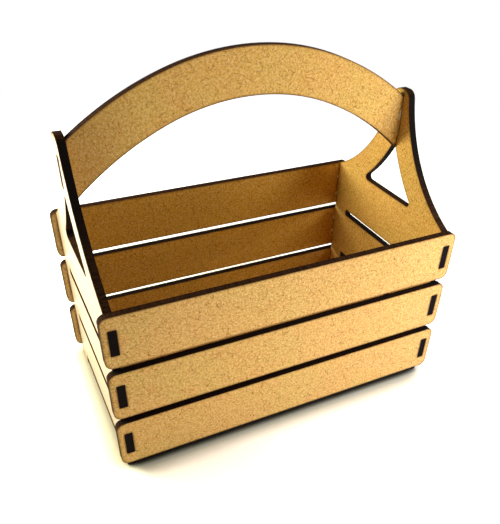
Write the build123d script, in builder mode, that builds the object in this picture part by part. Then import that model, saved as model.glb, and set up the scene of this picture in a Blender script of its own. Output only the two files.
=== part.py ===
from build123d import *
import math
import os

# Trug basket, laser cut from one sheet of fibreboard, tabbed together and glued.
# Millimetres, +Z up. X runs along the slats, Y from the front slats to the back slats.
# The origin is on the floor, midway between the four feet.

# Sheet and fits
sheet = 3.0  # thickness of every piece
tab_play = 0.1  # gap between a tab and each wall of its slot
tenon_play = 0.25  # gap on each face of the handle where it passes through an end panel

# Slats, three at the front and three at the back
slat_length = 150.0
slat_height = 22.0
slat_gap = 3.0
slat_corner_radius = 3.0
slat_overhang = 2.5  # what a slat sticks out past the outer face of the end panel
slot_height = 11.0
basket_depth = 86.0  # over the outer faces of the front and back slats
slat_rows = ("bottom", "middle", "top")

# End panels
foot_height = 4.5  # from the floor to the lower edge of the bottom slats
foot_length = 10.0
panel_rise = 47.0  # from the rim of the slats to the top of the panel
peak_width = 9.0
peak_corner_radius = 3.8
flank_radius = 65.0
frame_width = 11.0  # board left between the window and the flank
window_sill = 0.4  # board left between the rim of the slats and the window
window_corner_radius = 1.6
window_apex_radius = 0.9

# Handle
tenon_height = 11.0
tenon_drop = 13.5  # from the top of the panel down to the middle of the tenon
handle_end_height = 22.0
handle_crown_height = 17.3
handle_rise = 24.7  # from the top corner of an end up to the crown
crown_span_share = 0.48  # part of the handle's length that the crown arc spans
crown_drop_share = 0.225  # part of an edge's rise that falls within the crown arc

# Places worked out from the sizes above
row_pitch = slat_height + slat_gap
rim_height = foot_height + len(slat_rows) * row_pitch - slat_gap
panel_outer = slat_length / 2 - slat_overhang
panel_middle = panel_outer - sheet / 2
panel_inner = panel_outer - sheet
slat_outer = basket_depth / 2
slat_inner = slat_outer - sheet
peak_height = rim_height + panel_rise
tenon_middle = peak_height - tenon_drop
slit_length = 2 * (slat_inner - foot_length)
row_middles = [foot_height + slat_height / 2 + row * row_pitch for row in range(len(slat_rows))]
gap_middles = [middle + row_pitch / 2 for middle in row_middles[:-1]]

os.makedirs("parts", exist_ok=True)

# Slats: long boards with rounded corners. The tabs of the end panels come through two slots.
for wall, outward in (("front", 1), ("back", -1)):
    for row, middle in zip(slat_rows, row_middles):
        with BuildPart() as slat:
            with BuildSketch(Plane.XZ.offset(outward * (slat_inner + sheet / 2))):
                with Locations((0, middle)):
                    RectangleRounded(slat_length, slat_height, slat_corner_radius)
                with Locations((-panel_middle, middle), (panel_middle, middle)):
                    Rectangle(sheet + 2 * tab_play, slot_height, mode=Mode.SUBTRACT)
            extrude(amount=sheet / 2, both=True)
        slat.part.label = f"{wall}_slat_{row}"
        export_step(slat.part, f"parts/{slat.part.label}.step")

# End panels: a straight box end below the rim, with two hollow flanks up to a rounded peak.
# The sides of the window share their centres with the flanks, so the frame between is even.
flank_foot = (slat_inner, rim_height)
flank_head = (peak_width / 2, peak_height)
flank = RadiusArc(flank_foot, flank_head, flank_radius)
side_radius = flank_radius + frame_width
window_floor = rim_height + window_sill
window_top = flank.arc_center.Y - math.sqrt(side_radius**2 - flank.arc_center.X**2)
window_half = flank.arc_center.X - math.sqrt(side_radius**2 - (flank.arc_center.Y - window_floor) ** 2)

for side, outward in (("left", -1), ("right", 1)):
    panel_plane = Plane.YZ.offset(outward * panel_middle)
    with BuildPart() as panel:
        with BuildSketch(panel_plane) as outline:
            with BuildLine():
                Line((0, 0), (slat_inner, 0))
                Line((slat_inner, 0), flank_foot)
                add(flank)
                Line(flank_head, (0, peak_height))
                mirror(about=Plane.YZ)
            make_face()
            fillet(outline.vertices().group_by(Axis.Y)[-1], peak_corner_radius)
            with Locations([(0, middle) for middle in row_middles]):
                Rectangle(2 * slat_outer, slot_height - 2 * tab_play)
            with Locations([(0, middle) for middle in gap_middles]):
                Rectangle(slit_length, slat_gap, mode=Mode.SUBTRACT)
            with Locations((0, foot_height / 2)):
                Rectangle(slit_length, foot_height, mode=Mode.SUBTRACT)
            with Locations((0, tenon_middle)):
                Rectangle(sheet + 2 * tenon_play, tenon_height + 2 * tab_play, mode=Mode.SUBTRACT)
        extrude(amount=sheet / 2, both=True)
        with BuildSketch(panel_plane) as window:
            with BuildLine():
                Line((0, window_floor), (window_half, window_floor))
                RadiusArc((window_half, window_floor), (0, window_top), side_radius)
                mirror(about=Plane.YZ)
            make_face()
            fillet(window.vertices().group_by(Axis.Y)[0], window_corner_radius)
            fillet(window.vertices().group_by(Axis.Y)[-1], window_apex_radius)
        extrude(amount=sheet / 2, both=True, mode=Mode.SUBTRACT)
    panel.part.label = f"end_panel_{side}"
    export_step(panel.part, f"parts/{panel.part.label}.step")

# Base: a flat board under the box, whose wide end tabs fill the notches between the feet.
with BuildPart() as base:
    with BuildSketch(Plane.XY.offset(foot_height - sheet)):
        Rectangle(2 * panel_inner, 2 * slat_inner)
        Rectangle(2 * panel_outer, slit_length - 2 * tab_play)
    extrude(amount=sheet)
base.part.label = "base_panel"
export_step(base.part, f"parts/{base.part.label}.step")

# Handle: an arched board between the end panels, with a tenon through each of them.
# Each long edge is a tight crown arc that runs on into two flatter arcs.
end_top = tenon_middle + handle_end_height / 2
end_bottom = tenon_middle - handle_end_height / 2
crown_top = end_top + handle_rise
crown_bottom = crown_top - handle_crown_height
crown_half = crown_span_share * panel_inner

with BuildPart() as handle:
    with BuildSketch(Plane.XZ):
        with BuildLine():
            for crown, end in ((crown_top, end_top), (crown_bottom, end_bottom)):
                shoulder = crown - crown_drop_share * (crown - end)
                arch = ThreePointArc((-crown_half, shoulder), (0, crown), (crown_half, shoulder))
                TangentArc(arch @ 1, (panel_inner, end), tangent=arch % 1)
                TangentArc(arch @ 0, (-panel_inner, end), tangent=arch % 0 * -1)
            Line((panel_inner, end_top), (panel_inner, end_bottom))
            Line((-panel_inner, end_top), (-panel_inner, end_bottom))
        make_face()
        with Locations((-panel_middle, tenon_middle), (panel_middle, tenon_middle)):
            Rectangle(sheet, tenon_height)
    extrude(amount=sheet / 2, both=True)
handle.part.label = "handle"
export_step(handle.part, f"parts/{handle.part.label}.step")
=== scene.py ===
import math

import bpy
from mathutils import Euler, Matrix, Vector

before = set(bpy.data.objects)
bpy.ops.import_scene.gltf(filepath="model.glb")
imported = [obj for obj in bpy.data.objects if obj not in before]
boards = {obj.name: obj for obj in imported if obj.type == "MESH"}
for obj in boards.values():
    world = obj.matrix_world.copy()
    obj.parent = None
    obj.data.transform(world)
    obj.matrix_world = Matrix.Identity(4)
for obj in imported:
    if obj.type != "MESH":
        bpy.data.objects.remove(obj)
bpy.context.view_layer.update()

# Base panel
# The bottom board, raw 3 mm fibreboard glued between the feet of the end panels. All the pieces are
# laser cut from such a sheet, with tan faces full of loose fibres and edges charred almost black.
face_tan = (0.67, 0.368, 0.080, 1)
face_yellow = (0.64, 0.38, 0.078, 1)
face_russet = (0.66, 0.335, 0.072, 1)
# The next two are painted light: a deeper tan for light bounced inside the box, and a paler, more
# neutral tone for the light on slat ends beyond the end panels
inside_bounce_tan = (0.66, 0.338, 0.026, 1)
painted_overhang_light = (0.64, 0.48, 0.23, 1)
fibre_dark = (0.21, 0.070, 0.003, 1)
fibre_pale = (0.93, 0.65, 0.29, 1)
# Brown of laser scorch, also used for painted shade in corners and towards the handle's ends
scorch_and_shade_brown = (0.16, 0.06, 0.012, 1)
char_and_shade_black = (0.005, 0.003, 0.0025, 1)
char_brown = (0.075, 0.028, 0.010, 1)
pale_spot_colour = (0.85, 0.76, 0.60, 1)
board_roughness = 0.68
board_gloss = 0.04
fibre_curl = 3.0  # how far a fibre bends for its length

metre = 1000  # millimetres, the unit of the next six
panel_inner = 69.5  # from the middle of the basket to the inner face of an end panel
panel_outer = 72.5  # from the middle of the basket to the outer face of an end panel
nearest_wall = 40  # from the middle of the basket to the inner faces of the slats
pattern_step = (211.0, 97.0)  # from one board's place in the sheet to the next one's
corner_shade_width = 1.4  # width of the dark line on a slat beside an end panel
spot_half_width = 0.5
heat_reach = 0.0016  # metres that the laser's heat runs in from a cut
gap_shade_reach = 0.005  # metres across what counts as a narrow gap


class Stain:
    """A value, colour or vector in a board's shader. Arithmetic on values adds their Math nodes."""

    def __init__(self, socket):
        self.socket = socket

    def node(self, kind, settings, inputs, output=0):
        tree = self.socket.id_data
        made = tree.nodes.new("ShaderNode" + kind)
        for name, value in settings.items():
            setattr(made, name, value)
        for key, value in inputs.items():
            if isinstance(value, Stain):
                tree.links.new(value.socket, made.inputs[key])
            else:
                made.inputs[key].default_value = value
        return Stain(made.outputs[output])

    def beside(self, output):
        """Another output of the node that this value comes from."""
        return Stain(self.socket.node.outputs[output])

    def parts(self, kind="SeparateXYZ"):
        """The three numbers in a vector, or in a colour with SeparateColor."""
        first = self.node(kind, {}, {0: self})
        return [first, first.beside(1), first.beside(2)]

    def math(self, operation, *values):
        return self.node("Math", {"operation": operation}, dict(enumerate(values)))

    def __add__(self, other):
        return self.math("ADD", self, other)

    def __radd__(self, other):
        return self.math("ADD", other, self)

    def __sub__(self, other):
        return self.math("SUBTRACT", self, other)

    def __rsub__(self, other):
        return self.math("SUBTRACT", other, self)

    def __mul__(self, other):
        return self.math("MULTIPLY", self, other)

    def __rmul__(self, other):
        return self.math("MULTIPLY", other, self)

    def __truediv__(self, other):
        return self.math("DIVIDE", self, other)

    def __rtruediv__(self, other):
        return self.math("DIVIDE", other, self)

    def __abs__(self):
        return self.math("ABSOLUTE", self)

    def ramp(self, start, end):
        """0 where this value is at start, 1 where it is at end, smooth between."""
        settings = {"interpolation_type": "SMOOTHSTEP"}
        return self.node("MapRange", settings, {"Value": self, "From Min": start, "From Max": end})

    def paint(self, under, over):
        """The colour under, covered by the colour over where this mask is 1."""
        return self.node("Mix", {"data_type": "RGBA"}, {0: self, 6: under, 7: over}, 2)


def fibres(spot, spacing, length, width, share):
    """Mask of curved fibres lying loose in the face. Each cell of the sheet may hold one, turned
    at random, and share is how many of them do."""
    cells = {"Vector": spot, "Scale": 1 / spacing, "Randomness": 1.0}
    middle = spot.node("TexVoronoi", {"voronoi_dimensions": "2D"}, cells, "Position")
    turn, curl, chance = middle.beside("Color").parts("SeparateColor")
    away = spot.node("VectorMath", {"operation": "SUBTRACT"}, {0: spot, 1: middle})
    turned = away.node("VectorRotate", {"rotation_type": "Z_AXIS"},
                       {"Vector": away, "Angle": turn * math.tau})
    along, across, _ = turned.parts()
    bend = (curl - 0.5) * along * along * (fibre_curl / length)
    line = abs(across - bend).ramp(width / 2, width / 8)
    reach = abs(along).ramp(length / 2, length / 3)
    return line * reach * chance.ramp(1 - share, 1 - share + 0.05)


def finish_board(name, across, number, tint=(1, 1), burn=0.5, inside=0.93, glare_sheen=False,
                 painted_shade_from=0, pale_spots=()):
    """Finish one board. across is the axis through its thickness, and number picks its place in the
    sheet. tint multiplies the green and blue of its faces; a paler tint is painted light, standing
    in for the light on that board. burn is how dark the line beside a cut is, and inside how far a
    face that looks into the box takes the deeper tan painted for light bounced inside the box.
    glare_sheen adds sheen and a coat to the left panel's outer face alone, standing in for the
    strong light that turns it white. painted_shade_from is where shade painted towards the ends of
    a board starts, deepest at the left end, and pale_spots are (along, up, half height), in
    millimetres."""
    made = bpy.data.materials.new(name)
    made.use_nodes = True
    links = made.node_tree.links
    shader = made.node_tree.nodes["Principled BSDF"]
    coordinates = Stain(made.node_tree.nodes.new("ShaderNodeTexCoord").outputs["Object"])
    place = dict(zip("XYZ", coordinates.parts()))
    facing = dict(zip("XYZ", coordinates.beside("Normal").parts()))
    normal = facing[across]

    # Place on the board in millimetres, with the thickness left out
    right, up = (place[axis] * metre for axis in "XYZ" if axis != across)
    flat = right.node("CombineXYZ", {}, {"X": right + pattern_step[0] * number,
                                         "Y": up + pattern_step[1] * number, "Z": 0.0})

    # Where the laser cut: the edges of the board, and the marks that run in from them
    cut = abs(normal).ramp(0.8, 0.6)
    within = {"inside": True, "only_local": True, "samples": 16}
    edge = 1 - coordinates.node("AmbientOcclusion", within, {"Distance": heat_reach}, "AO")
    smoked, burnt, charred = edge.ramp(0.02, 0.40), edge.ramp(0.25, 0.45), edge.ramp(0.40, 0.47)

    # Which faces look into the box: between the end panels, or beyond them on a slat's overhang
    outward = normal * place[across] * (metre / nearest_wall)
    inward = (0 - outward).ramp(0.6, 0.8)
    between = abs(right).ramp(panel_inner + 0.1, panel_inner - 0.1)
    overhang = inward * (1 - between)

    # The face: pressed fibre in tan, yellow and russet clouds, with single fibres lying in it
    noise = {"noise_dimensions": "2D"}
    clouds = flat.node("TexNoise", noise, {"Vector": flat, "Scale": 0.035, "Detail": 2.0})
    tints = flat.node("TexNoise", noise, {
        "Vector": flat, "Scale": 0.14, "Detail": 3.0, "Roughness": 0.6})
    mottle = flat.node("TexNoise", noise, {
        "Vector": flat, "Scale": 1.1, "Detail": 3.0, "Roughness": 0.75})
    warped = flat.node("TexNoise", noise, {"Vector": flat, "Scale": 0.6, "Detail": 1.0}, "Color")
    curled = flat.node("VectorMath", {"operation": "MULTIPLY_ADD"}, {
        0: warped, 1: (1.5, 1.5, 0), 2: flat})
    long_fibres = fibres(curled, spacing=3.6, length=3.8, width=0.34, share=0.6)
    short_fibres = fibres(curled, spacing=1.3, length=1.7, width=0.28, share=0.8)
    pale_fibres = fibres(curled, spacing=1.0, length=1.3, width=0.32, share=0.85)
    specks = flat.node("TexVoronoi", {"voronoi_dimensions": "2D"}, {
        "Vector": flat, "Scale": 0.16}, "Distance")

    # The cut: char with fine stripes through the thickness, where the beam stepped along. Shade is
    # painted on it, near black, in narrow gaps and on the ends of the tabs.
    stretch = {"X": 1.0, "Y": 1.0, "Z": 1.0, across: 0.12}
    solid = right.node("CombineXYZ", {}, {
        axis: place[axis] * (metre * stretch[axis]) for axis in "XYZ"})
    stripes = solid.node("TexNoise", {"noise_dimensions": "3D"}, {
        "Vector": solid, "Scale": 2.2, "Detail": 2.0})
    gap_shade = coordinates.node("AmbientOcclusion", {"samples": 16}, {
        "Distance": gap_shade_reach}, "AO").ramp(0.9, 0.5)
    tab_end_shade = abs(facing["Y"]).ramp(0.5, 0.9)
    char = stripes.ramp(0.2, 0.9).paint(char_and_shade_black, char_brown)
    char = gap_shade.math("MAXIMUM", gap_shade, tab_end_shade).paint(char, char_and_shade_black)

    # Coats of colour over the clouds, in order, each as its mask, its strength and its colour
    tan, yellow, russet = ((red, green * tint[0], blue * tint[1], 1)
                           for red, green, blue, _ in (face_tan, face_yellow, face_russet))
    coats = [
        (tints.ramp(0.50, 0.72), 0.8, russet),
        # Painted light: faces that look into the box take a deeper tan for the light bounced
        # between the boards
        (inward * between, inside, inside_bounce_tan),
        # Painted light: a slat's end beyond an end panel is paler and more neutral, for the light
        # on it
        (overhang, 0.9, painted_overhang_light),
        (mottle.ramp(0.52, 0.28), 0.38, fibre_dark),
        (mottle.ramp(0.48, 0.72), 0.44, fibre_pale),
        (pale_fibres, 0.46, fibre_pale),
        (short_fibres, 0.47, fibre_dark),
        (long_fibres, 0.65, fibre_dark),
        (specks.ramp(0.06, 0.02), 0.75, scorch_and_shade_brown),
    ]
    # Painted shade towards the ends of the board, much deeper at the left end
    if painted_shade_from:
        coats += [
            ((0 - right).ramp(painted_shade_from, panel_inner), 0.35, scorch_and_shade_brown),
            (right.ramp(painted_shade_from, panel_inner), 0.08, scorch_and_shade_brown),
        ]
    # Painted shade in the corner where a slat's end meets the outer face of an end panel
    painted_corner_shade = abs(right).ramp(panel_outer + corner_shade_width, panel_outer)
    coats += [
        (smoked, 0.15, scorch_and_shade_brown),
        (burnt, burn, scorch_and_shade_brown),
        (charred, burn, char_brown),
        (overhang * painted_corner_shade, 0.3, scorch_and_shade_brown),
        (cut, 1, char),
    ]
    for along, height, half_height in pale_spots:
        sideways, upwards = (right - along) / spot_half_width, (up - height) / half_height
        off_middle = sideways * sideways + upwards * upwards
        coats.append((off_middle.ramp(1.0, 0.6), 0.9, pale_spot_colour))
    colour = clouds.ramp(0.38, 0.62).paint(tan, yellow)
    for mask, strength, coat in coats:
        colour = (mask * strength).paint(colour, coat)

    face_relief = (mottle + short_fibres * 0.4 + long_fibres * 0.6) * (1 - cut)
    relief = face_relief + stripes * cut * 1.5
    corner = relief.node("Bevel", {"samples": 4}, {"Radius": 0.0002})
    bumps = relief.node("Bump", {}, {
        "Strength": 0.25, "Distance": 0.0001, "Height": relief, "Normal": corner})
    rough = board_roughness + cut * 0.1 + mottle * 0.1
    links.new(colour.socket, shader.inputs["Base Color"])
    links.new(bumps.socket, shader.inputs["Normal"])
    links.new(rough.socket, shader.inputs["Roughness"])
    shader.inputs["Specular IOR Level"].default_value = board_gloss

    # Painted highlight: sheen and a coat on the left panel's outer face alone, for the strong light
    # that turns it almost white
    if glare_sheen:
        outside = (0 - normal).ramp(0.6, 0.8) * (1 - edge.ramp(0.10, 0.30))
        glare_layers = {"Sheen Weight": 0.55, "Sheen Roughness": 0.6, "Coat Weight": 0.8,
                  "Coat Roughness": 0.2, "Coat IOR": 2.0, "Specular IOR Level": board_gloss}
        bright = colour.node("BsdfPrincipled", {}, {
            "Base Color": colour, "Roughness": rough, "Normal": bumps, **glare_layers})
        plain = Stain(shader.outputs["BSDF"])
        both = outside.node("MixShader", {}, {0: outside, 1: plain, 2: bright})
        links.new(both.socket, made.node_tree.nodes["Material Output"].inputs["Surface"])

    boards[name].data.materials.clear()
    boards[name].data.materials.append(made)


finish_board("base_panel", "Z", 1)

# End panels
# The two gables, with a window and two slits each, carry everything else. Their tabs show as black
# ends in the slots of the slats: char, made blacker by painted shade. The left one is burnt deeper
# at its cuts, and its outer face has sheen and a coat, a painted highlight for the strong light on
# it.
# Painted light: the left panel's paler tint, with its sheen, stands in for the strong light on it
finish_board("end_panel_left", "X", 2, tint=(1.02, 1.15), burn=0.95, glare_sheen=True)
finish_board("end_panel_right", "X", 3, inside=0.12)

# Slats
# Three boards at the front and three at the back, pushed over the tabs of the end panels and glued.
# Dried glue shows inside, where the tabs of the right panel enter the two upper back slats.
# Painted light: the paler tints stand in for the bright light on the front slats and the more
# neutral light on the back slats' ends
slat_light_tints = {"front": (1, 1.26), "back": (1.05, 1.5)}
slats = [(wall, row) for wall in slat_light_tints for row in ("bottom", "middle", "top")]
glue_along, glue_half_height = 69.1, 1.1
glue_heights = {("back", "middle"): (45.6, 37.7), ("back", "top"): (69.0, 59.7)}
for number, (wall, row) in enumerate(slats, 4):
    spots = [(glue_along, height, glue_half_height) for height in glue_heights.get((wall, row), ())]
    finish_board(f"{wall}_slat_{row}", "Y", number, tint=slat_light_tints[wall], pale_spots=spots)

# Handle
# An arched board of the same sheet, whose tenons are glued through the tops of the end panels. It
# is burnt deeper beside its cuts, and shade is painted on it towards the ends, deepest at the left.
# Pale spots at the middle of both tenons, where they meet the end panels
handle_spots = [(69.0, 113.0, 2.4), (-69.2, 111.8, 1.8)]
finish_board("handle", "Y", 10, burn=0.9, painted_shade_from=38, pale_spots=handle_spots)

# Floor
# A plain white table top under the feet. It is seen as white wherever no shadow falls. A shadow is
# also painted into its colour: dark where the boards touch it, then warm, and warmest on the left,
# where it stands for light thrown back by the left panel.
floor_reach = 3.0
lit_paper = (1.8, 1.8, 1.8, 1)
warm_shadow_paper = (1.8, 1.68, 1.3, 1)
bounce_light_paper = (1.35, 1.2, 0.95, 1)
contact_shadow_paper = (0.02, 0.02, 0.015, 1)
plain_paper = (0.75, 0.75, 0.74, 1)
black, white = (0, 0, 0, 1), (1, 1, 1, 1)


def rays_that_show(tree):
    """1 for what is seen, also in a mirror or through glass, and 0 for what lights the boards."""
    camera_ray = Stain(tree.nodes.new("ShaderNodeLightPath").outputs["Is Camera Ray"])
    mirrored = camera_ray.math("MAXIMUM", camera_ray, camera_ray.beside("Is Glossy Ray"))
    return mirrored.math("MAXIMUM", mirrored, camera_ray.beside("Is Transmission Ray"))


bpy.ops.mesh.primitive_plane_add(size=2 * floor_reach)
floor = bpy.context.object
floor.name = "floor"
table_top = bpy.data.materials.new("table_top")
table_top.use_nodes = True
tree = table_top.node_tree
tree.nodes.clear()
shown = rays_that_show(tree)
spot = shown.node("TexCoord", {}, {}, "Object")
from_middle = spot.node("VectorMath", {"operation": "LENGTH"}, {0: spot}, "Value")
along, _, _ = spot.parts()
# Painted shadow: the floor darkens where the boards hide it from behind and above, wider to the
# right
close = {"Distance": 0.0135 + along.ramp(-0.02, 0.07) * 0.009, "Normal": (-0.45, 0.75, 0.48)}
clear = spot.node("AmbientOcclusion", {"samples": 16}, close, "AO").ramp(0.22, 0.95)
# Painted bounce light: a warm glow on the floor beside the left panel
wide = {"Distance": 0.035, "Normal": (0.95, 0.1, 0.3)}
beside = 1 - spot.node("AmbientOcclusion", {"samples": 16}, wide, "AO").ramp(0.3, 1.0)
on_the_left = along.ramp(-0.055, -0.085)
paper = (beside * on_the_left).paint(lit_paper, bounce_light_paper)
paper = (clear * clear).paint(warm_shadow_paper, paper)
paper = clear.paint(contact_shadow_paper, paper)
paper = from_middle.ramp(0.30, 0.50).paint(paper, black)
paper = shown.paint(plain_paper, paper)
diffuse = paper.node("BsdfDiffuse", {}, {"Color": paper})
far_white = (shown * from_middle.ramp(0.12, 0.32)).paint(black, white)
glow = far_white.node("Emission", {}, {"Color": far_white})
surface = glow.node("AddShader", {}, {0: diffuse, 1: glow})
table_output = tree.nodes.new("ShaderNodeOutputMaterial")
tree.links.new(surface.socket, table_output.inputs["Surface"])
floor.data.materials.append(table_top)

# Light
# Six soft square lamps stand in front, on the right, and behind on the left. The world is white
# where it is seen, and adds very little light of its own.
ambient = 0.02
world = bpy.data.worlds.new("studio")
bpy.context.scene.world = world
world.use_nodes = True
sky = world.node_tree.nodes["Background"]
sky.inputs["Color"].default_value = white
sky_strength = rays_that_show(world.node_tree) * (1 - ambient) + ambient
world.node_tree.links.new(sky_strength.socket, sky.inputs["Strength"])


def lamp(name, place, aim, size, power, colour=(1, 1, 1)):
    """A square lamp that the camera doesn't see, with its size in metres and its power in watts."""
    light = bpy.data.lights.new(name, "AREA")
    light.size = size
    light.energy = power
    light.color = colour
    made = bpy.data.objects.new(name, light)
    bpy.context.scene.collection.objects.link(made)
    made.location = place
    made.rotation_euler = (Vector(aim) - made.location).to_track_quat("-Z", "Y").to_euler()
    made.visible_camera = False


lamp("front_low", (0, -0.16, 0.015), (0, -0.04, 0.03), 0.10, 0.094, (1.0, 0.98, 0.76))
lamp("front_right", (0.14, -0.18, 0.05), (0.04, -0.02, 0.07), 0.08, 0.37, (0.70, 0.74, 1.0))
lamp("front_top", (0.12, -0.15, 0.27), (0.06, 0, 0.08), 0.08, 0.215, (1.0, 0.97, 0.72))
lamp("right", (0.17, -0.08, 0.10), (0.05, 0, 0.12), 0.05, 0.157)
lamp("back_left", (-0.30, 0.25, 0.16), (0, 0, 0.06), 0.14, 1.52, (1.0, 1.0, 0.91))
lamp("top_left", (-0.34, 0.12, 0.26), (0, 0, 0.06), 0.20, 1.08, (1.0, 0.97, 0.65))

# Camera
# It stands in front, to the left and above, at the photograph's viewing angle. Its place, turns,
# focal length and centre were fitted to the edges of the boards there.
view_place = (-0.0973, -0.2044, 0.1947)
view_turn, view_dip, view_roll = 0.4765, 0.655, 0.0346  # radians
focal_pixels = 596.1
frame_width, frame_height = 500, 524  # pixels, as are the two of the centre
centre_across, centre_down = 263.8, 326.2
camera_data = bpy.data.cameras.new("camera")
camera_data.lens = focal_pixels / frame_height * camera_data.sensor_width
camera_data.shift_x = (frame_width / 2 - centre_across) / frame_height
camera_data.shift_y = (centre_down - frame_height / 2) / frame_height
camera_data.clip_start = 0.01
camera = bpy.data.objects.new("camera", camera_data)
bpy.context.scene.collection.objects.link(camera)
view_aim = Euler((math.pi / 2 - view_dip, 0, -view_turn)).to_matrix().to_4x4()
roll = Matrix.Rotation(view_roll, 4, "Z")
camera.matrix_world = Matrix.Translation(view_place) @ view_aim @ roll
bpy.context.scene.camera = camera
bpy.context.scene.view_settings.view_transform = "Standard"
